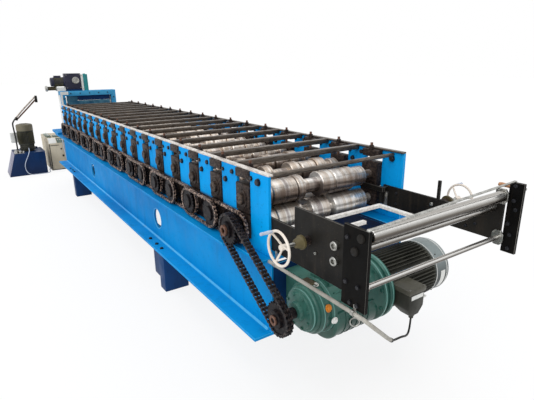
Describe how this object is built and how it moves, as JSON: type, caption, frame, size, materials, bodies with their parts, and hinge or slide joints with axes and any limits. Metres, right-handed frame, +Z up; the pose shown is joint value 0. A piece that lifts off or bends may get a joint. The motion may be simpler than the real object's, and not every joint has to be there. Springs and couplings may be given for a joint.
{
  "type": "roll forming machine",
  "caption": "Long roll forming line on twin beams with chained roll stands, entry table with rollers and hand wheels, geared motor, portal cutter, hydraulic tank and control cabinet.",
  "frame": {"origin": "on the floor, in the middle of the sole of the front box sleeper under the two beams", "axes": "+X along the line towards the entry table, +Z up, -Y the side with the chains"},
  "size_m": [9.54, 2.31, 1.9112],
  "materials": {
    "machine_blue": "bright blue gloss paint with oil smears",
    "shaded_navy": "darker blue paint",
    "forming_steel": "hard chromed rolls on dark oiled shafts",
    "black_steel": "black oxide and dark paint with oil film",
    "chrome": "bright ground and chromed bar",
    "reducer_green": "dark green paint on cast iron",
    "motor_grey": "dark olive-grey paint on finned casting",
    "wheel_ivory": "ivory enamel",
    "cabinet_cream": "cream powder coat",
    "zinc_plate": "dull zinc coat with oil marks",
    "conduit_grey": "grey plastic-covered conduit and cable",
    "cable_black": "black rubber cable",
    "brown_grip": "brown turned grip on a bent rod"
  },
  "bodies": {
    "machine": {"near_beam": "machine_blue", "far_beam": "machine_blue", "front_crossmember": "machine_blue", "rear_crossmember": "machine_blue", "near_side_frame": "machine_blue", "far_side_frame": "machine_blue", "cutter_bed": "machine_blue", "cutter_frame": "machine_blue", "front_sleeper": "shaded_navy", "rear_sleeper": "shaded_navy", "hydraulic_tank": "shaded_navy", "forming_stand_01": "forming_steel", "forming_stand_02": "forming_steel", "forming_stand_03": "forming_steel", "forming_stand_04": "forming_steel", "forming_stand_05": "forming_steel", "forming_stand_06": "forming_steel", "forming_stand_07": "forming_steel", "forming_stand_08": "forming_steel", "forming_stand_09": "forming_steel", "forming_stand_10": "forming_steel", "forming_stand_11": "forming_steel", "forming_stand_12": "forming_steel", "forming_stand_13": "forming_steel", "forming_stand_14": "forming_steel", "forming_stand_15": "forming_steel", "forming_stand_16": "forming_steel", "forming_stand_17": "forming_steel", "top_tie_bars": "black_steel", "drive_sprocket": "black_steel", "drive_chain": "black_steel", "near_table_plate": "black_steel", "far_table_plate": "black_steel", "near_upright": "black_steel", "far_upright": "black_steel", "lower_die": "black_steel", "cutter_motor": "black_steel", "entry_flat_bar": "black_steel", "front_tie_rod": "chrome", "guide_rod": "chrome", "reducer": "reducer_green", "drive_motor": "motor_grey", "pump_motor": "motor_grey", "near_wheel_bracket": "motor_grey", "far_wheel_bracket": "motor_grey", "control_cabinet": "cabinet_cream", "roller_flange": "zinc_plate", "rod_flange": "zinc_plate", "sheet_guides": "zinc_plate", "pressure_pipes": "zinc_plate", "motor_conduit": "conduit_grey", "pump_cable": "conduit_grey", "desk_cable": "conduit_grey", "motor_cable": "cable_black", "table_handle": "brown_grip"},
    "near_wheel": {"near_handwheel": "wheel_ivory"},
    "far_wheel": {"far_handwheel": "wheel_ivory"},
    "top_roller": {"entry_top_roller": "chrome"},
    "lower_roller": {"entry_lower_roller": "chrome"},
    "blade": {"cutter_blade": "forming_steel"}
  },
  "joints": [
    {"name": "near_wheel_turn", "type": "hinge", "parent": "machine", "child": "near_wheel", "pos_m": [2.21, -0.76, 1.12], "axis": [0, 1, 0], "continuous": true},
    {"name": "far_wheel_turn", "type": "hinge", "parent": "machine", "child": "far_wheel", "pos_m": [2.21, 0.76, 1.12], "axis": [0, 1, 0], "continuous": true},
    {"name": "top_roller_spin", "type": "hinge", "parent": "machine", "child": "top_roller", "pos_m": [2.605, 0, 1.262], "axis": [0, 1, 0], "continuous": true},
    {"name": "lower_roller_spin", "type": "hinge", "parent": "machine", "child": "lower_roller", "pos_m": [2.57, 0, 1.188], "axis": [0, 1, 0], "continuous": true},
    {"name": "blade_drop", "type": "slide", "parent": "machine", "child": "blade", "axis": [0, 0, -1], "range_m": [0, 0.1]}
  ]
}
